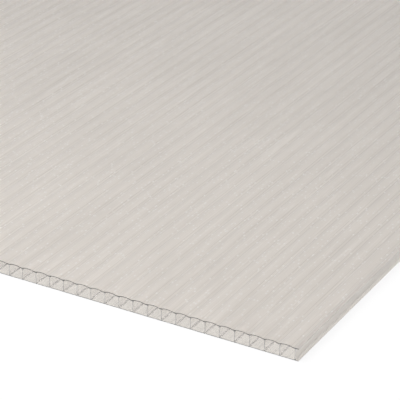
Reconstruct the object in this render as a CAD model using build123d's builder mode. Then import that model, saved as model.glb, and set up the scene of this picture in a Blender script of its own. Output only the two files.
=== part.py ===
from build123d import *
from math import sqrt
import os

# Clear twin-wall polycarbonate glazing sheet, one extruded piece of stock.
#
# Two thin skins are joined by upright ribs, which leave a row of open flutes
# from one sawn end to the other. The underside is flat. The top skin cooled
# between its ribs, so it swells a little over each flute and dips beside each
# rib. Outside the last rib on each long side both skins run on as short lips.
#
# Millimetres. X runs across the flutes, Y along them, Z up. The origin is the
# middle of the underside, where the sheet rests on a floor.

# Stock size
sheet_length = 2000.0     # along the flutes, between the two sawn ends
sheet_thickness = 10.0    # underside to the crown of the top skin

# Section, the same all along the sheet
cell_pitch = 11.0         # rib centre to rib centre
cell_count = 63           # flutes side by side, for stock sold as 700 mm wide
skin_thickness = 0.5      # top and bottom skin
rib_thickness = 0.45
root_radius = 0.8         # where a rib runs into a skin
lip_width = 2.5           # from the last rib's centre to the long edge
crown_height = 0.7        # how far the top skin swells above its hollows
dip_width = 2.6           # the rounded hollow in the top skin, one for each rib
dip_shift = 1.1           # from a rib's centre to the middle of its hollow, to the left

# Worked out from the sizes above
rib_span = cell_count * cell_pitch
sheet_width = rib_span + 2 * lip_width
dip_z = sheet_thickness - crown_height

# The top skin's outline is a row of arcs that touch end to end: a wide one that
# swells over each flute, and a narrow hollow one beside each rib. The line between
# two neighbouring centres is the hypotenuse of a right-angled triangle, half a
# pitch wide, which gives the sum of both radii.
radius_sum = (cell_pitch**2 / 4 + crown_height**2) / (2 * crown_height)
dip_radius = radius_sum * dip_width / cell_pitch
crown_radius = radius_sum - dip_radius
crown_half = (cell_pitch - dip_width) / 2
crown_centre_z = sheet_thickness - crown_radius
join_z = crown_centre_z + sqrt(crown_radius**2 - crown_half**2)
dip_mid_x = dip_width / 4
dip_mid_z = dip_z + dip_radius - sqrt(dip_radius**2 - dip_mid_x**2)

flute_xs = [(k - (cell_count - 1) / 2) * cell_pitch for k in range(cell_count)]
swell_xs = [x - dip_shift for x in flute_xs]
last_rib_x = rib_span / 2
edge_x = sheet_width / 2

# One flute, centred on X = 0. Its ceiling follows the swell of the top skin, one
# skin thickness inside it, from rib to rib. The skin is therefore thickest beside
# the rib, under the hollow, where plastic gathers and sinks as it cools. Each
# corner is rounded where a rib meets a skin.
flute_half = (cell_pitch - rib_thickness) / 2
ceiling_radius = crown_radius - skin_thickness
ceiling_left_z = crown_centre_z + sqrt(ceiling_radius**2 - (flute_half - dip_shift) ** 2)
ceiling_mid_z = sheet_thickness - skin_thickness
ceiling_right_z = crown_centre_z + sqrt(ceiling_radius**2 - (flute_half + dip_shift) ** 2)

with BuildSketch(Plane.XY) as flute:
    with BuildLine():
        Polyline(
            (-flute_half, ceiling_left_z),
            (-flute_half, skin_thickness),
            (flute_half, skin_thickness),
            (flute_half, ceiling_right_z),
        )
        ThreePointArc(
            (flute_half, ceiling_right_z),
            (-dip_shift, ceiling_mid_z),
            (-flute_half, ceiling_left_z),
        )
    make_face()
    fillet(flute.vertices(), root_radius)

# The open channel between the two lips, outside the last rib. It starts at the
# rib's outer face, with the same rounded roots, and leaves by the long edge.
channel_start = last_rib_x + rib_thickness / 2
channel_width = edge_x - channel_start
channel_height = dip_z - 2 * skin_thickness

with BuildSketch(Plane.XY) as channel:
    with Locations((channel_start + channel_width / 2, dip_z / 2)):
        Rectangle(channel_width, channel_height)
    fillet(channel.vertices().group_by(Axis.X)[0], root_radius)

with BuildPart() as multiwall_sheet:
    with BuildSketch(Plane.XZ.offset(sheet_length / 2)):
        with BuildLine():
            # The flat underside, then the two long edges up to the level of the dips
            Polyline((-edge_x, dip_z), (-edge_x, 0), (edge_x, 0), (edge_x, dip_z))
            # The lips are flat, and run into half a hollow beside each outermost rib
            for side in (-1, 1):
                hollow_mid = side * last_rib_x - dip_shift
                Line((side * edge_x, dip_z), (hollow_mid, dip_z))
                ThreePointArc(
                    (hollow_mid, dip_z),
                    (hollow_mid - side * dip_mid_x, dip_mid_z),
                    (hollow_mid - side * dip_width / 2, join_z),
                )
            # A swell over every flute
            for x in swell_xs:
                ThreePointArc((x - crown_half, join_z), (x, sheet_thickness), (x + crown_half, join_z))
            # A hollow between every two swells
            for x in swell_xs[:-1]:
                hollow_mid = x + cell_pitch / 2
                ThreePointArc(
                    (hollow_mid - dip_width / 2, join_z),
                    (hollow_mid, dip_z),
                    (hollow_mid + dip_width / 2, join_z),
                )
        make_face()
        with Locations([(x, 0) for x in flute_xs]):
            add(flute.sketch, mode=Mode.SUBTRACT)
        add(channel.sketch, mode=Mode.SUBTRACT)
        add(mirror(channel.sketch, about=Plane.YZ, mode=Mode.PRIVATE), mode=Mode.SUBTRACT)
    extrude(amount=-sheet_length)

multiwall_sheet.part.label = "multiwall_sheet"

os.makedirs("parts", exist_ok=True)
export_step(multiwall_sheet.part, "parts/multiwall_sheet.step")

print("width", round(sheet_width, 3), "length", sheet_length, "flutes", cell_count)
print("crown radius", round(crown_radius, 3), "dip radius", round(dip_radius, 3))
print("volume", round(multiwall_sheet.part.volume / 1000, 1), "cm3")
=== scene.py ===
# %% [markdown]
# # A clear twin-wall glazing sheet
#
# The real thing is one long extrusion: molten polycarbonate is pressed through
# a die and comes out as two thin skins joined by upright ribs, with air in the
# flutes between them. It is then sawn to length. So the whole object is one
# section, carried along one straight line, and nearly all of its look comes
# from how light finds its way through those thin walls.
#
# The CAD model comes first. It fixes where the sheet lies and how large it is.

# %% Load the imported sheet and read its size
from math import atan2, pi, radians, sqrt

import bpy
import numpy as np
from mathutils import Matrix, Vector


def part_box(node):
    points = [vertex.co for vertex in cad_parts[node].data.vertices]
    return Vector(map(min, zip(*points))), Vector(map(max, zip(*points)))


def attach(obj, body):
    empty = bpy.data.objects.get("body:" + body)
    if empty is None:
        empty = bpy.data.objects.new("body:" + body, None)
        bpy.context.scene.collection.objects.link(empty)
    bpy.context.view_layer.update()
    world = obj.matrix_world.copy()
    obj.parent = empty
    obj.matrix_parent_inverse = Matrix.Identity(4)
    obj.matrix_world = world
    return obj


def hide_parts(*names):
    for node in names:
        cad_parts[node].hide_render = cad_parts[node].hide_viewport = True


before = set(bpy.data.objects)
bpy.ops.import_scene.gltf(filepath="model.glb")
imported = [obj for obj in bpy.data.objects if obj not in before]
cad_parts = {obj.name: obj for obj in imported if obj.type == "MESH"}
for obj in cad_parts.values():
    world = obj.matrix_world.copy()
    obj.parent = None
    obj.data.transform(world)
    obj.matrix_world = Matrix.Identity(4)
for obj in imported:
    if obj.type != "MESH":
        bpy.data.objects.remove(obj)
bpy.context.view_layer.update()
low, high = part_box("multiwall_sheet")
width, length = high.x - low.x, high.y - low.y
print("CAD sheet", round(width, 4), "by", round(length, 4), "m")

# %% [markdown]
# ## The section
#
# One flute is a tall rounded box. Its floor is flat, its ceiling follows the
# swell of the top skin, and its four corners are rounded where a rib runs into
# a skin. The sizes are those of the CAD section, in metres.
#
# The CAD solid could be shown as it is, but its mesh is made for checks, and a
# swell of seven tenths of a millimetre is only a few facets there. Clear plastic
# bends light at every facet, so this mesh is worked out finely and replaces it.

# %% Sizes of the section
mm = 0.001
pitch = 11 * mm
cells = 63
thickness = 10 * mm
skin = 0.5 * mm
rib = 0.45 * mm
root = 0.8 * mm
crown = 0.7 * mm
dip = 2.6 * mm
dip_shift = 1.1 * mm

lip = (width - cells * pitch) / 2
half_span = cells * pitch / 2
flute_half = (pitch - rib) / 2
print("lip", round(lip / mm, 3), "mm, flute", round(2 * flute_half / mm, 3), "mm wide")

# %% [markdown]
# ## The wave of the top skin
#
# The top skin is a row of arcs that touch end to end: a wide one that swells
# over each flute and a narrow hollow one beside each rib. It could be drawn as
# a sine wave, but the real swells are broad and the hollows narrow, and two
# arcs keep that. The hollows lie a little to the left of their ribs. Outside
# the first and the last hollow the skin is flat, out to the long edges.
#
# Where two arcs touch, the line between their centres passes through the joint,
# so it is as long as both radii together. It is also the longest side of a
# right-angled triangle that is half a pitch wide, and Pythagoras gives the sum
# of the radii. They share it as the hollow and the swell share the pitch.

# %% Height of the top skin
dip_z = thickness - crown
radius_sum = (pitch**2 / 4 + crown**2) / (2 * crown)
dip_radius = radius_sum * dip / pitch
crown_radius = radius_sum - dip_radius
crown_half = (pitch - dip) / 2


def top_height(x):
    """Height of the top skin at x across the sheet.

    With u the distance from the nearest swell's middle, the swell is a circle's top,
    centre + sqrt(R^2 - u^2), and the hollow is another circle's bottom.
    """
    along = x + dip_shift + half_span
    u = np.abs(along % pitch - pitch / 2)
    swell = thickness - crown_radius + np.sqrt(crown_radius**2 - np.minimum(u, crown_half) ** 2)
    from_hollow = np.minimum(pitch / 2 - u, dip / 2)
    hollow = dip_z + dip_radius - np.sqrt(dip_radius**2 - from_hollow**2)
    wave = np.where(u <= crown_half, swell, hollow)
    return np.where((along > 0) & (along < 2 * half_span), wave, dip_z)


middle = np.linspace(-pitch / 2, pitch / 2, 5)
print("top skin over one flute, mm:", (top_height(middle) / mm).round(2))

# %% [markdown]
# ## One cell as a ring
#
# A saw cut shows the section as a face full of holes. It could be filled by a
# triangulator, but that makes long thin triangles. Here each flute's wall is
# one loop of points, and every point has a partner on the outside of its cell:
# straight below it, straight above it, or on the middle line of the rib beside
# it. Loop and partners make a ring of small four-sided faces, and rings of
# neighbouring cells share the points on their common rib.

# %% Lines and arcs as arrays of points
def arc(x, z, radius, start, end, steps):
    """Points (x + r cos a, z + r sin a), with the angle a running evenly from start to end."""
    a = np.linspace(start, end, steps + 1)
    return np.stack([x + radius * np.cos(a), z + radius * np.sin(a)], 1)


def straight(start, end, steps):
    """Points on a line, closer together near both of its ends: t = (1 - cos(pi u)) / 2."""
    t = (1 - np.cos(np.linspace(0, pi, steps + 1))) / 2
    return np.array(start) + t[:, None] * (np.array(end) - np.array(start))


def round_corner(first, corner, last):
    """Even steps from first to the sharp corner, and on to last, as many as a root has."""
    t = np.linspace(0, 1, corner_steps // 2 + 1)[:, None]
    first, corner, last = np.array(first), np.array(corner), np.array(last)
    return np.concatenate([first + t * (corner - first), corner + t[1:] * (last - corner)])


def end_to_end(parts):
    """Parts joined into one line of points, each shared end kept once."""
    return np.concatenate([part[:-1] for part in parts[:-1]] + [parts[-1]])


corner_steps = 4
floor_steps = 8
wall_steps = 5
ceiling_steps = 12
lip_steps = 3
print("steps round one flute:", floor_steps + 2 * wall_steps + ceiling_steps + 4 * corner_steps)

# %% [markdown]
# Going anticlockwise, a flute's loop is floor, right root, right wall, upper
# right root, ceiling, and down the left side again. The circle of an upper root
# touches the wall and the ceiling's circle from inside, so its centre lies one
# root radius from both, and Pythagoras gives its height. The ceiling is highest
# left of the middle, so the right root sits lower than the left one.
#
# A partner on the top skin gets the height of a hollow first. Its real height
# follows when the rings are in place, because the wave is a function of x.

# %% Wall loop and partner loop of one cell
ceiling_radius = crown_radius - skin
centre_z = thickness - crown_radius
low_z = skin + root
root_x = flute_half - root


def upper_root(x):
    """Height of an upper root's centre above x, and the angle at which it touches the ceiling."""
    across = x + dip_shift
    up = sqrt((ceiling_radius - root) ** 2 - across**2)
    return centre_z + up, atan2(up, across)


right_z, right_turn = upper_root(root_x)
left_z, left_turn = upper_root(-root_x)
floor_line = straight((-root_x, skin), (root_x, skin), floor_steps)
ceiling = arc(-dip_shift, centre_z, ceiling_radius, right_turn, left_turn, ceiling_steps)
flute_loop = end_to_end([
    floor_line,
    arc(root_x, low_z, root, -pi / 2, 0, corner_steps),
    straight((flute_half, low_z), (flute_half, right_z), wall_steps),
    arc(root_x, right_z, root, 0, right_turn, corner_steps),
    ceiling,
    arc(-root_x, left_z, root, left_turn, pi, corner_steps),
    straight((-flute_half, left_z), (-flute_half, low_z), wall_steps),
    arc(-root_x, low_z, root, pi, 3 * pi / 2, corner_steps),
])[:-1]

edge_x = pitch / 2
rib_line = straight((edge_x, low_z), (edge_x, right_z), wall_steps)
cell_partners = end_to_end([
    floor_line * (1, 0),
    round_corner((root_x, 0), (edge_x, 0), (edge_x, low_z)),
    rib_line,
    round_corner((edge_x, right_z), (edge_x, dip_z), (ceiling[0, 0], dip_z)),
    np.stack([ceiling[:, 0], np.full(len(ceiling), dip_z)], 1),
    round_corner((ceiling[-1, 0], dip_z), (-edge_x, dip_z), (-edge_x, right_z)),
    rib_line[::-1] * (-1, 1),
    round_corner((-edge_x, low_z), (-edge_x, 0), (-root_x, 0)),
])[:-1]
print("points in one flute's wall:", len(flute_loop), "and partners:", len(cell_partners))

# %% [markdown]
# ## The two long edges
#
# The die also presses the long edges, so they aren't sawn. Outside the last rib
# both skins run on as lips with an open channel between them. The channel is
# an open loop, from the upper lip's end inwards, down the rib and out along the
# lower lip. Its partners on the rib's middle line are those of the last cell.

# %% Wall loop and partner loop of one long edge
face_x = rib / 2
channel_z = dip_z - skin
upper = straight((lip, channel_z), (face_x + root, channel_z), lip_steps)
lower = straight((face_x + root, skin), (lip, skin), lip_steps)
channel_line = end_to_end([
    upper,
    arc(face_x + root, channel_z - root, root, pi / 2, pi, corner_steps),
    straight((face_x, channel_z - root), (face_x, low_z), wall_steps),
    arc(face_x + root, low_z, root, pi, 3 * pi / 2, corner_steps),
    lower,
])
edge_partners = end_to_end([
    np.stack([upper[:, 0], np.full(len(upper), dip_z)], 1),
    round_corner((face_x + root, dip_z), (0, dip_z), (0, right_z)),
    rib_line[::-1] * (0, 1),
    round_corner((0, low_z), (0, 0), (face_x + root, 0)),
    lower * (1, 0),
])
print("points in one edge channel:", len(channel_line), "and partners:", len(edge_partners))

# %% [markdown]
# ## The whole section
#
# The cells are copies of one ring, moved by one pitch each. Points that fall
# together are then welded by rounding them to a hundredth of a micrometre and
# keeping one of each. An edge of a face that no other face runs back along is
# on the outline, of the sheet or of a flute, and that is where the long walls
# start.

# %% Gather the rings into one sawn face
centres = (np.arange(cells) - (cells - 1) / 2) * pitch
weld = 1e-8


def placed(loop, partners, x):
    """A ring moved to x, with its partners on the top skin raised to the wave."""
    loop, partners = loop + (x, 0), partners + (x, 0)
    on_top = partners[:, 1] > dip_z - weld
    partners[on_top, 1] = top_height(partners[on_top, 0])
    return loop, partners


def ring_faces(count, start, closed):
    """Four-sided faces between point j, point j + 1 and their partners, anticlockwise."""
    j = np.arange(count if closed else count - 1)
    k = (j + 1) % count
    return np.stack([start + count + j, start + count + k, start + k, start + j], 1)


rings = [(*placed(flute_loop, cell_partners, x), True) for x in centres]
rings.append((*placed(channel_line, edge_partners, half_span), False))
mirrored = [line[::-1] * (-1, 1) for line in (channel_line, edge_partners)]
rings.append((*placed(*mirrored, -half_span), False))

points, faces, used = [], [], 0
for loop, partners, closed in rings:
    points += [loop, partners]
    faces.append(ring_faces(len(loop), used, closed))
    used += 2 * len(loop)
points, faces = np.concatenate(points), np.concatenate(faces)

rounded = np.round(points / weld).astype(np.int64)
_, first, same = np.unique(rounded, axis=0, return_index=True, return_inverse=True)
section, faces = points[first], same.reshape(-1)[faces]

starts, ends = faces.ravel(), np.roll(faces, -1, 1).ravel()
lonely = ~np.isin(starts * len(section) + ends, ends * len(section) + starts)
outline = np.stack([starts[lonely], ends[lonely]], 1)
print("section:", len(section), "points,", len(faces), "faces,", len(outline), "outline edges")

# %% [markdown]
# ## Carried along the sheet
#
# Each outline edge becomes one long face from the near end to the far end, as
# an extruder would draw it. The two sawn ends are the section itself, turned
# round at the far end so that it faces outwards too. Both ends share their
# points with the long faces, so the whole sheet is one closed skin.

# %% Vertices and faces
count = len(section)
end_planes = [
    np.stack([section[:, 0], np.full(count, y), section[:, 1]], 1) for y in (-length / 2, length / 2)
]
start_point, end_point = outline.T
long_faces = np.stack([end_point, start_point, start_point + count, end_point + count], 1)
sawn_faces = np.concatenate([faces, faces[:, ::-1] + count])
print("long faces:", len(long_faces), "faces on the two sawn ends:", len(sawn_faces))

# %% [markdown]
# Every face also needs to know its finish. A long face is sorted by where its
# edge of the section lies: on the flat underside, on the top skin, outside the
# last rib, or else in a flute. The numbers are those of the material slots.

# %% Which finish each face gets
weather_side, flute_wall, sawn_end, underside, long_edge = range(5)
x, z = section.T
slack = 10 * weld
outside = (z < weld) | (np.abs(z - top_height(x)) < slack) | (np.abs(x) > width / 2 - slack)
in_flute = ~outside[outline].all(1)
below = (z[outline] < weld).all(1)
on_top = (z[outline] > dip_z - weld).all(1)
beyond = (np.abs(x[outline]).min(1) > half_span) & ~below & ~on_top
finish = np.select([beyond, in_flute, below], [long_edge, flute_wall, underside], weather_side)
finish = np.concatenate([finish, np.full(len(sawn_faces), sawn_end)])
print("faces of each finish:", np.bincount(finish))

# %% [markdown]
# The long faces are shaded smooth, so that the swell of the top skin reads as
# one curve, with a sharp edge only where the outline turns by more than thirty
# degrees. The sawn ends stay flat.

# %% The sheet as one object
sharp_turn = radians(30)
sheet_mesh = bpy.data.meshes.new("multiwall_sheet_fine")
sheet_mesh.from_pydata(
    np.concatenate(end_planes).tolist(), [], np.concatenate([long_faces, sawn_faces]).tolist())
sheet_mesh.polygons.foreach_set("use_smooth", finish != sawn_end)
sheet_mesh.polygons.foreach_set("material_index", finish.astype(np.int32))
sheet_mesh.set_sharp_from_angle(angle=sharp_turn)
sheet_mesh.validate()
sheet = bpy.data.objects.new("multiwall_sheet_fine", sheet_mesh)
bpy.context.scene.collection.objects.link(sheet)
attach(sheet, "root")
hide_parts("multiwall_sheet")
print("sheet:", len(sheet_mesh.vertices), "vertices,", 2 * len(sheet_mesh.polygons), "triangles")

# %% [markdown]
# ## Clear polycarbonate in five finishes
#
# The plastic is clear, with a faint warm grey tint. Real tint is absorption
# inside the walls, and Blender has a volume shader for it, but a model that is
# exported loses that. The Principled shader can tint a surface instead: each
# crossing multiplies light by the square root of Base Color.
#
# If every wall had that tint, each rib would darken what lies behind it once
# more, and the sheet would look like a row of grey bars. So the two outer faces
# carry the tint, which a ray crosses once each, and the walls of the flutes are
# almost without colour. With the matt sawn ends and the long edges that makes
# five finishes.
#
# They share three effects: lines that the die leaves along the sheet, lines
# that keep to the ribs, and dust with a little haze. Each is a node group,
# built once and placed in a material with that material's own values. First
# come a few helpers that keep the node code short. Numbers are worked out by
# Math and Map Range nodes.

# %% Helpers for numbers in nodes
def linked(tree, socket, value):
    """Sets a socket to a plain value, or links another node's output to it."""
    if isinstance(value, bpy.types.NodeSocket):
        tree.links.new(value, socket)
    else:
        socket.default_value = value


def arithmetic(tree, operation, *values):
    """A Math node over one or two values, and its result."""
    node = tree.nodes.new("ShaderNodeMath")
    node.operation = operation
    for socket, value in zip(node.inputs, values):
        linked(tree, socket, value)
    return node.outputs[0]


def ramp(tree, value, start, end, low=0.0, high=1.0):
    """A Map Range node: low below start, high above end, and a smooth step between them."""
    node = tree.nodes.new("ShaderNodeMapRange")
    node.interpolation_type = "SMOOTHSTEP"
    numbers = {"Value": value, "From Min": start, "From Max": end, "To Min": low, "To Max": high}
    for label, number in numbers.items():
        linked(tree, node.inputs[label], number)
    return node.outputs["Result"]


print("helpers for numbers:", linked.__name__, arithmetic.__name__, ramp.__name__)

# %% [markdown]
# A pattern needs to know where on the sheet it is. Object coordinates are
# metres from the sheet's own origin, so a pattern keeps its real size and stays
# where it is when the sheet is moved. Dividing them by a step for each axis
# stretches a pattern: what the die draws is hundreds of times as long as wide.

# %% Helpers for places and patterns
def object_place(tree):
    """Object coordinates, in metres from the middle of the underside."""
    return tree.nodes.new("ShaderNodeTexCoord").outputs["Object"]


def one_axis(tree, axis):
    """One Object coordinate, in metres: X across the ribs, Y along them or Z up."""
    axes = tree.nodes.new("ShaderNodeSeparateXYZ")
    tree.links.new(object_place(tree), axes.inputs["Vector"])
    return axes.outputs[axis]


def in_steps(tree, across, along, up):
    """Object coordinates counted in steps: a large step along an axis stretches a pattern along it."""
    step = tree.nodes.new("ShaderNodeCombineXYZ")
    for axis, size in zip("XYZ", (across, along, up)):
        linked(tree, step.inputs[axis], size)
    divide = tree.nodes.new("ShaderNodeVectorMath")
    divide.operation = "DIVIDE"
    tree.links.new(object_place(tree), divide.inputs[0])
    tree.links.new(step.outputs["Vector"], divide.inputs[1])
    return divide.outputs["Vector"]


def noise(tree, place, detail, seed=0.0):
    """Soft noise between 0 and 1, one wave for each step of place, and another one for each seed."""
    node = tree.nodes.new("ShaderNodeTexNoise")
    node.noise_dimensions = "4D"
    node.inputs["Scale"].default_value = 1
    node.inputs["Detail"].default_value = detail
    tree.links.new(place, node.inputs["Vector"])
    linked(tree, node.inputs["W"], seed)
    return node.outputs["Fac"]


print("helpers for places:", object_place.__name__, one_axis.__name__, in_steps.__name__, noise.__name__)

# %% [markdown]
# A node group is a small tree of its own with named sockets. Its inputs carry a
# first value, which each material may change.

# %% Helper for node groups
def new_group(title, inputs, outputs):
    """An empty node group with named number sockets, its input values and its output sockets."""
    group = bpy.data.node_groups.new(title, "ShaderNodeTree")
    for label, value in inputs.items():
        socket = group.interface.new_socket(label, in_out="INPUT", socket_type="NodeSocketFloat")
        socket.default_value = value
    for label in outputs:
        group.interface.new_socket(label, in_out="OUTPUT", socket_type="NodeSocketFloat")
    given = group.nodes.new("NodeGroupInput").outputs
    result = group.nodes.new("NodeGroupOutput").inputs
    print("node group", title, "takes", ", ".join(inputs), "and gives", ", ".join(outputs))
    return group, given, result


# %% [markdown]
# ### Die lines
#
# Molten plastic slides along the steel of the die, and every nick in the steel
# draws a line that runs down the whole sheet. A wave texture would give evenly
# spaced lines, but nicks fall anywhere. Soft noise that is stretched along the
# sheet passes its middle value at uneven places, and a thin band round that
# value is a set of thin lines at uneven distances.

# %% Node group: die lines
def make_die_lines():
    """Line is 1 - smoothstep(|noise(x / Apart, y / Run, z / Apart) - 0.5| / Thin), so 1 on a line."""
    sizes = {"Apart": 3 * mm, "Run": 400 * mm, "Thin": 0.03, "Seed": 0.0}
    group, given, result = new_group("die_lines", sizes, ["Line"])
    place = in_steps(group, given["Apart"], given["Run"], given["Apart"])
    waves = noise(group, place, detail=1, seed=given["Seed"])
    from_middle = arithmetic(group, "ABSOLUTE", arithmetic(group, "SUBTRACT", waves, 0.5))
    line = ramp(group, from_middle, 0.0, given["Thin"], low=1.0, high=0.0)
    group.links.new(line, result["Line"])
    return group


die_lines = make_die_lines()

# %% [markdown]
# ### Lines that keep to the ribs
#
# A rib pulls at the skins as it cools. That leaves a shallow hollow and one or two fine sunk lines beside
# every rib. Where the lines of this group darken a colour, on the weather side and the sawn ends, they
# are painted shade: the shade in the hollows and the dark image of the ribs seen through the plastic.
# Ping-pong on x counts up and down between the middles of the flutes and the
# ribs. The number of flutes is odd, so x is 0 in the middle of a flute, and the
# highest value marks a rib. Stretched noise then lets the line fade and come
# back on its way down the sheet, as the real one does.

# %% Node group: rib lines
def make_rib_lines():
    """Line is 1 at Aside from a rib's centre and falls to 0 at half of Width from there.

    Noise over Run lowers it in places, to 1 - Fade at the least.
    """
    sizes = {"Aside": 0.0, "Width": 1 * mm, "Fade": 0.5, "Run": 150 * mm}
    group, given, result = new_group("rib_lines", sizes, ["Line"])
    from_line = arithmetic(group, "SUBTRACT", one_axis(group, "X"), given["Aside"])
    to_rib = arithmetic(group, "PINGPONG", from_line, pitch / 2)
    half_width = arithmetic(group, "MULTIPLY", given["Width"], 0.5)
    line = ramp(group, to_rib, arithmetic(group, "SUBTRACT", pitch / 2, half_width), pitch / 2)
    waves = noise(group, in_steps(group, pitch, given["Run"], pitch), detail=2)
    least = arithmetic(group, "SUBTRACT", 1.0, given["Fade"])
    strength = ramp(group, waves, start=0.35, end=0.65, low=least)
    group.links.new(arithmetic(group, "MULTIPLY", line, strength), result["Line"])
    return group


rib_lines = make_rib_lines()

# %% [markdown]
# ### Dust and haze
#
# Plastic charges itself when its film is pulled off, and draws dust: small
# specks, a little longer along the sheet than across. The Voronoi texture gives
# every point its distance from the nearest of many scattered seeds, so a small
# distance is a speck. A random number that comes with each seed keeps only a
# share of them. Haze is plain soft noise, in clouds a few centimetres wide.

# %% Node group: dust and haze
def make_dust_and_haze():
    """Speck is 1 at a kept seed and falls to 0 at Size across from it, or twice that along.

    Cloud is soft noise between 0 and 1, one wave for each Wide.
    """
    sizes = {"Apart": 6 * mm, "Size": 0.5 * mm, "Kept": 0.4, "Wide": 60 * mm}
    group, given, result = new_group("dust_and_haze", sizes, ["Speck", "Cloud"])
    seeds = group.nodes.new("ShaderNodeTexVoronoi")
    seeds.inputs["Scale"].default_value = 1
    along = arithmetic(group, "MULTIPLY", given["Apart"], 2.0)
    group.links.new(in_steps(group, given["Apart"], along, given["Apart"]), seeds.inputs["Vector"])
    radius = arithmetic(group, "DIVIDE", given["Size"], given["Apart"])
    inside = ramp(group, seeds.outputs["Distance"], 0.0, radius, low=1.0, high=0.0)
    number = group.nodes.new("ShaderNodeSeparateColor")
    group.links.new(seeds.outputs["Color"], number.inputs["Color"])
    kept = arithmetic(group, "LESS_THAN", number.outputs["Red"], given["Kept"])
    group.links.new(arithmetic(group, "MULTIPLY", inside, kept), result["Speck"])
    waves = noise(group, in_steps(group, given["Wide"], given["Wide"], given["Wide"]), detail=3)
    group.links.new(ramp(group, waves, start=0.3, end=0.7), result["Cloud"])
    return group


dust_and_haze = make_dust_and_haze()

# %% [markdown]
# ## Materials from the groups
#
# A material starts as a Principled shader whose plain numbers are set on its own
# sockets, where an exporter can read them: the refractive index, and with
# Transmission Weight how much light goes through.

# %% Helpers for plain materials
polycarbonate_ior = 1.585


def new_material(name):
    """A material with nodes, its node tree and its Principled shader."""
    material = bpy.data.materials.new(name)
    material.use_nodes = True
    return material, material.node_tree, material.node_tree.nodes["Principled BSDF"]


def plastic(name, transmission):
    """Clear polycarbonate, still without its surface, in the sheet's next material slot."""
    material, tree, shader = new_material(name)
    shader.inputs["IOR"].default_value = polycarbonate_ior
    shader.inputs["Transmission Weight"].default_value = transmission
    sheet_mesh.materials.append(material)
    print("slot", len(sheet_mesh.materials) - 1, "is", name)
    return tree, shader


print("light is", polycarbonate_ior, "times slower in polycarbonate than in air")

# %% [markdown]
# What varies over the surface comes from the groups: Base Color, Roughness and
# Normal. A finish has one plain colour, and each mark on it pulls that colour a
# share of the way to the mark's own.

# %% Helpers for marks, roughness and relief
def effect(tree, group, **values):
    """A node group placed in a material with its own values, and its outputs."""
    node = tree.nodes.new("ShaderNodeGroup")
    node.node_tree = group
    for label, value in values.items():
        node.inputs[label].default_value = value
    return node.outputs


def marked(tree, colour, mask, share, mark):
    """The colour where mask is 0, and that share of the way to the mark's colour where it is 1."""
    mix = tree.nodes.new("ShaderNodeMix")
    mix.data_type = "RGBA"
    linked(tree, mix.inputs["Factor"], arithmetic(tree, "MULTIPLY", mask, share))
    first, second = [socket for socket in mix.inputs if socket.type == "RGBA"]
    linked(tree, first, colour)
    linked(tree, second, mark)
    return next(socket for socket in mix.outputs if socket.type == "RGBA")


def surface(tree, shader, colour, mask, smooth, rough):
    """Base Color from colour, and Roughness between smooth and rough as the mask goes from 0 to 1."""
    linked(tree, shader.inputs["Base Color"], colour)
    roughness = ramp(tree, mask, 0.0, 1.0, low=smooth, high=rough)
    linked(tree, shader.inputs["Roughness"], roughness)


def bumped(tree, shader, height, depth):
    """Normal from a height of which 1 stands for depth, in metres."""
    bump = tree.nodes.new("ShaderNodeBump")
    bump.inputs["Strength"].default_value = 1
    bump.inputs["Distance"].default_value = depth
    tree.links.new(height, bump.inputs["Height"])
    tree.links.new(bump.outputs["Normal"], shader.inputs["Normal"])


print("helpers for finishes:", effect.__name__, marked.__name__, surface.__name__, bumped.__name__)

# %% [markdown]
# ### The weather side
#
# The top skin carries a thin coat against sunlight, which is faintly milky: it
# softens what is seen through it. So it is rougher than the walls inside, and a
# fifth of its light is scattered instead of let through.
#
# The hollows beside the ribs are painted a little darker than the crests: painted shade. A fine dark line
# at their bottom and another further to the left are painted shade too, for the dark image of the ribs
# seen through the skin. These lines are what the eye follows along the sheet. The die lines between them
# stay faint, because strong lines at random distances look like brushed metal. The light colour of the
# ridges among them is a painted highlight.

# %% Marks on the weather side
tree, shader = plastic("clear_polycarbonate", transmission=0.8)
beside_hollow = -3.2 * mm
# Painted shade: the hollow mask darkens the colour beside every rib.
hollow = effect(tree, rib_lines, Aside=-dip_shift, Width=10 * mm, Fade=0.15, Run=200 * mm)["Line"]
# Painted shade: these two fine lines darken the colour where the ribs' dark image shows through the skin.
# The first is also a real sunk line in the bump.
sunk_line_and_rib_shade = effect(tree, rib_lines, Aside=-dip_shift, Width=0.9 * mm, Fade=0.2, Run=40 * mm)["Line"]
rib_shade_line = effect(tree, rib_lines, Aside=beside_hollow, Width=0.8 * mm, Fade=0.65, Run=50 * mm)["Line"]
nicks = effect(tree, die_lines, Apart=1.6 * mm, Run=300 * mm, Thin=0.05, Seed=1)["Line"]
ridges = effect(tree, die_lines, Apart=3 * mm, Run=150 * mm, Thin=0.04, Seed=5)["Line"]
dust = effect(tree, dust_and_haze, Apart=2.2 * mm, Size=0.85 * mm, Kept=0.5)
print("fine lines lie", round(-dip_shift / mm, 2), "and", round(beside_hollow / mm, 2), "mm from a rib")

# %% [markdown]
# The broadest marks are laid on first and the dust last, so that dust lies on top as on the real sheet;
# the darker hollows and the fine rib lines among them are painted shade.
# Only what stands up or sinks in by a few micrometres goes into the bump: the
# ridges and the line at the bottom of a hollow.

# %% Material: weather side
# crest is the plastic's own tint; the hollow colour is painted shade, the dark colour serves the die's
# nicks and painted rib shade, and the light one is a painted highlight.
crest = (0.765, 0.714, 0.664, 1)
painted_hollow_shade = (0.711, 0.664, 0.618, 1)
dark_line_and_shade = (0.5, 0.462, 0.43, 1)
painted_ridge_highlight = (0.95, 0.9, 0.85, 1)
dust_white = (1, 0.99, 0.98, 1)
colour = marked(tree, crest, hollow, share=1.0, mark=painted_hollow_shade)
colour = marked(tree, colour, nicks, share=0.2, mark=dark_line_and_shade)
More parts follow.
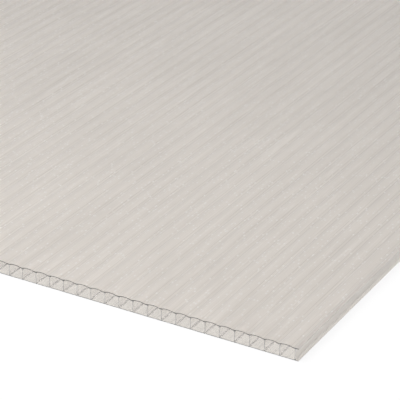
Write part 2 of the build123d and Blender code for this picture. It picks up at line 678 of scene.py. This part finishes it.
# Painted highlight: the ridges are lighter in colour, where their tops would catch the light. Their
# relief goes into the bump below.
colour = marked(tree, colour, ridges, share=0.4, mark=painted_ridge_highlight)
# Painted shade: the fine dark lines beside the ribs.
colour = marked(tree, colour, sunk_line_and_rib_shade, share=1.0, mark=dark_line_and_shade)
colour = marked(tree, colour, rib_shade_line, share=0.9, mark=dark_line_and_shade)
colour = marked(tree, colour, dust["Speck"], share=1.0, mark=dust_white)
surface(tree, shader, colour, dust["Cloud"], smooth=0.29, rough=0.33)
bumped(tree, shader, arithmetic(tree, "SUBTRACT", ridges, sunk_line_and_rib_shade), depth=0.004 * mm)
print("weather side:", len(tree.nodes), "nodes")

# %% [markdown]
# ### The flute walls
#
# Inside the flutes nothing has touched the plastic since the die, so the walls
# are glossy and almost colourless, with the die's lines on them. They get no
# bump: light crosses so many of these walls that it would only turn to noise.

# %% Material: flute walls
tree, shader = plastic("flute_walls", transmission=1.0)
clear = (0.985, 0.98, 0.975, 1)
faint_line = (0.96, 0.955, 0.95, 1)
nicks = effect(tree, die_lines, Apart=1.6 * mm, Run=800 * mm, Thin=0.06, Seed=2)["Line"]
colour = marked(tree, clear, nicks, share=1.0, mark=faint_line)
surface(tree, shader, colour, nicks, smooth=0.06, rough=0.1)

# %% [markdown]
# ### The sawn ends
#
# A saw leaves the plastic matt and whitish, with fine upright scratches where its teeth came through.
# They are noise in steps that are narrow across and tall upwards. On the sawn end the skins and the ribs
# are painted dark, the top skin most and a band below it too: painted shade for the dark rims and the
# dark image of the walls seen through the cut.

# %% Scratches and painted shade on the skins and ribs
tree, shader = plastic("sawn_polycarbonate", transmission=0.6)
teeth = noise(tree, in_steps(tree, across=0.3 * mm, along=1.0, up=5 * mm), detail=2)
scratches = ramp(tree, teeth, start=0.35, end=0.65)
# Painted shade: how far the darkening of the sawn end reaches, under the top skin and up from the
# underside.
shade_under_dip = 0.9 * mm
full_shade_height = 0.3 * mm
no_shade_height = 0.7 * mm
in_rib = effect(tree, rib_lines, Width=1.2 * mm, Fade=0)["Line"]
in_top_skin = ramp(tree, one_axis(tree, "Z"), start=dip_z - shade_under_dip, end=dip_z - skin)
in_bottom_skin = ramp(tree, one_axis(tree, "Z"), start=full_shade_height, end=no_shade_height, low=1.0, high=0.0)
# The bottom skin's painted shade reaches this height.
print("sawn ends: the bottom skin is torn up to", round(no_shade_height / mm, 2), "mm")

# %% [markdown]
# The marks are laid on as before. One grey of painted shade serves for the ribs and both skins, and each
# gets its own share of it.

# %% Material: sawn ends
sawn_white = (0.8, 0.785, 0.77, 1)
scratch_white = (0.9, 0.89, 0.88, 1)
painted_shade_grey = (0.1, 0.097, 0.094, 1)
colour = marked(tree, sawn_white, scratches, share=0.4, mark=scratch_white)
# Painted shade on the cut ribs and skins, all with one grey.
colour = marked(tree, colour, in_rib, share=0.4, mark=painted_shade_grey)
colour = marked(tree, colour, in_top_skin, share=1.0, mark=painted_shade_grey)
colour = marked(tree, colour, in_bottom_skin, share=0.6, mark=painted_shade_grey)
surface(tree, shader, colour, scratches, smooth=0.45, rough=0.6)
bumped(tree, shader, scratches, depth=0.02 * mm)
print("sawn ends:", len(tree.nodes), "nodes")

# %% [markdown]
# ### The underside
#
# The face that lies on the floor is glossy, without the coat, and carries the
# other half of the tint. Its marks are those of the die, the ribs and the dust,
# darker by a tenth.

# %% Material: underside
tree, shader = plastic("underside", transmission=1.0)
tint = (0.66, 0.6, 0.53, 1)
dark_tint = (0.6, 0.545, 0.48, 1)
nicks = effect(tree, die_lines, Apart=2.2 * mm, Run=600 * mm, Thin=0.05, Seed=3)["Line"]
sunk = effect(tree, rib_lines, Width=1.1 * mm, Fade=0.6)["Line"]
dust = effect(tree, dust_and_haze, Apart=9 * mm, Size=0.6 * mm, Kept=0.3)
marks = arithmetic(tree, "MAXIMUM", nicks, arithmetic(tree, "MAXIMUM", sunk, dust["Speck"]))
colour = marked(tree, tint, marks, share=1.0, mark=dark_tint)
surface(tree, shader, colour, dust["Cloud"], smooth=0.07, rough=0.11)

# %% [markdown]
# ### The long edges
#
# The lips and the outer wall of the last rib are pressed by the die as well, and
# slide through the calibrator, which leaves them satin with close lines. A gaze
# from the side passes many ribs, so there is nearly no tint on this finish.

# %% Material: long edges
tree, shader = plastic("long_edges", transmission=1.0)
satin = (0.98, 0.95, 0.92, 1)
satin_line = (0.88, 0.85, 0.82, 1)
nicks = effect(tree, die_lines, Apart=1.2 * mm, Run=600 * mm, Thin=0.06, Seed=4)["Line"]
colour = marked(tree, satin, nicks, share=1.0, mark=satin_line)
surface(tree, shader, colour, nicks, smooth=0.29, rough=0.33)

# %% [markdown]
# ## A pale room
#
# Clear plastic has no look of its own: it shows the room. A plain white room
# and a pale floor are what a sheet like this is photographed in. A brighter
# world would whiten the background, but it would also flood the sheet. The
# Light Path node tells rays apart instead. Rays that a viewer sees, straight,
# mirrored or through the plastic, find a background of 1, plain white, and the
# rays that light the sheet find a dimmer world.

# %% World
def background_rays(tree):
    """1 for camera, glossy and transmission rays, which see the plain background, and 0 for the rest."""
    path = tree.nodes.new("ShaderNodeLightPath").outputs
    mirrored_or_straight = arithmetic(tree, "MAXIMUM", path["Is Camera Ray"], path["Is Glossy Ray"])
    return arithmetic(tree, "MAXIMUM", mirrored_or_straight, path["Is Transmission Ray"])


light_from_world = 0.35
world = bpy.data.worlds.new("studio")
bpy.context.scene.world = world
world.use_nodes = True
tree = world.node_tree
background = tree.nodes["Background"]
background.inputs["Color"].default_value = (1, 1, 1, 1)
strength = ramp(tree, background_rays(tree), 0.0, 1.0, light_from_world, 1.0)
tree.links.new(strength, background.inputs["Strength"])
print("the world lights the sheet with a strength of", light_from_world)

# %% [markdown]
# The floor is pale grey and matt for the light that falls on it, so its white is
# part emission too, only for the rays that a viewer sees. The rest of its look
# is its own colour, and that part keeps the sheet's shadow. It lies a hair below
# the sheet, so that the two faces don't fight for the same place.

# %% Floor
floor_gap = 0.3 * mm
floor_reach = 20
white_share = 0.9
pale_grey = (0.8, 0.8, 0.8, 1)
matt = 0.9
floor_mesh = bpy.data.meshes.new("floor")
corners = floor_reach * np.array([(-1, -1), (1, -1), (1, 1), (-1, 1)])
corners = np.column_stack([corners, np.full(len(corners), -floor_gap)])
floor_mesh.from_pydata(corners.tolist(), [], [(0, 1, 2, 3)])
floor = bpy.data.objects.new("floor", floor_mesh)
bpy.context.scene.collection.objects.link(floor)
pale, tree, shader = new_material("pale_floor")
shader.inputs["Base Color"].default_value = pale_grey
shader.inputs["Roughness"].default_value = matt
emission = tree.nodes.new("ShaderNodeEmission")
mix = tree.nodes.new("ShaderNodeMixShader")
linked(tree, mix.inputs["Fac"], arithmetic(tree, "MULTIPLY", background_rays(tree), white_share))
tree.links.new(shader.outputs["BSDF"], mix.inputs[1])
tree.links.new(emission.outputs["Emission"], mix.inputs[2])
tree.links.new(mix.outputs["Shader"], tree.nodes["Material Output"].inputs["Surface"])
floor_mesh.materials.append(pale)
print("the floor keeps", round(1 - white_share, 2), "of the sheet's shadow")

# %% [markdown]
# ## Soft lamps
#
# Three soft lamps shape the sheet a little. The key lamp stands to the left, so
# that the slopes of the swells that face it are lighter than those that turn
# away. The front lamp lights the sawn end. A weak lamp close overhead brightens
# the near part, and lets the sheet grow darker towards its far end. From so near
# it would show as a bright spot, mirrored in the skins and seen through them, so
# it only lights what is matt.

# %% Lamps
def lamp(name, place, aim, size, power, seen=True):
    """A square soft lamp at place, turned towards aim, size metres wide, with power in watts.

    One that isn't seen shows neither in reflections nor through clear plastic.
    """
    light = bpy.data.lights.new(name, "AREA")
    light.size = size
    light.energy = power
    turned = (Vector(aim) - Vector(place)).to_track_quat("-Z", "Y").to_matrix().to_4x4()
    soft = bpy.data.objects.new(name, light)
    bpy.context.scene.collection.objects.link(soft)
    soft.matrix_world = Matrix.Translation(place) @ turned
    soft.visible_glossy = seen
    soft.visible_transmission = seen
    print("lamp", name, "of", power, "W stands", round((Vector(aim) - Vector(place)).length, 2), "m away")


lamp("key", place=(-2.2, -1.0, 2.3), aim=(0.0, -0.8, 0.0), size=2.0, power=42)
lamp("front", place=(0.5, -4.0, 1.6), aim=(0.1, -0.9, 0.0), size=2.0, power=40)
lamp("overhead", place=(0.05, -1.1, 0.6), aim=(0.12, -0.97, 0.0), size=0.5, power=5.0, seen=False)

# %% [markdown]
# ## The camera
#
# The camera stands in front of the near corner, to its right, and looks down on
# the sheet aslant. Its place was found from straight lines in a picture: the
# sawn end, the long edge and the ribs are a known distance apart, which leaves
# one place from which they all fall where they should. It is counted from where
# the last rib meets the floor. A long lens keeps the far ribs nearly as wide as
# the near ones.

# %% Camera
rib_end = Vector((half_span, -length / 2, 0))
camera_from_rib_end = Vector((471.98, -998.90, 657.29)) * mm
turned_left, tilted_down, roll = radians(28.563), radians(26.251), radians(1.241)
camera_data = bpy.data.cameras.new("camera")
camera_data.lens = 179.43
camera_data.sensor_width = 36
camera_data.clip_end = 100
camera = bpy.data.objects.new("camera", camera_data)
bpy.context.scene.collection.objects.link(camera)
camera.matrix_world = (
    Matrix.Translation(rib_end + camera_from_rib_end)
    @ Matrix.Rotation(turned_left, 4, "Z")
    @ Matrix.Rotation(pi / 2 - tilted_down, 4, "X")
    @ Matrix.Rotation(roll, 4, "Z")
)
bpy.context.scene.camera = camera
bpy.context.scene.view_settings.view_transform = "Standard"
print("camera", round(camera_from_rib_end.length, 3), "m from the last rib, lens", camera_data.lens, "mm")

# %% [markdown]
# ## How often light may turn
#
# Cycles follows a ray through twelve surfaces and then drops it, which shows as
# black. Twelve is plenty for a pane of glass, but a flat look along this sheet
# crosses a wall every few millimetres, and light also travels inside a rib and
# turns at its faces dozens of times. With twelve, the open flutes come out too
# dark. So the limits are raised to where the picture no longer changes.

# %% Bounces
wall_crossings = 128
cycles = bpy.context.scene.cycles
cycles.max_bounces = wall_crossings
cycles.glossy_bounces = wall_crossings
cycles.transmission_bounces = wall_crossings
print("a ray may turn", wall_crossings, "times")
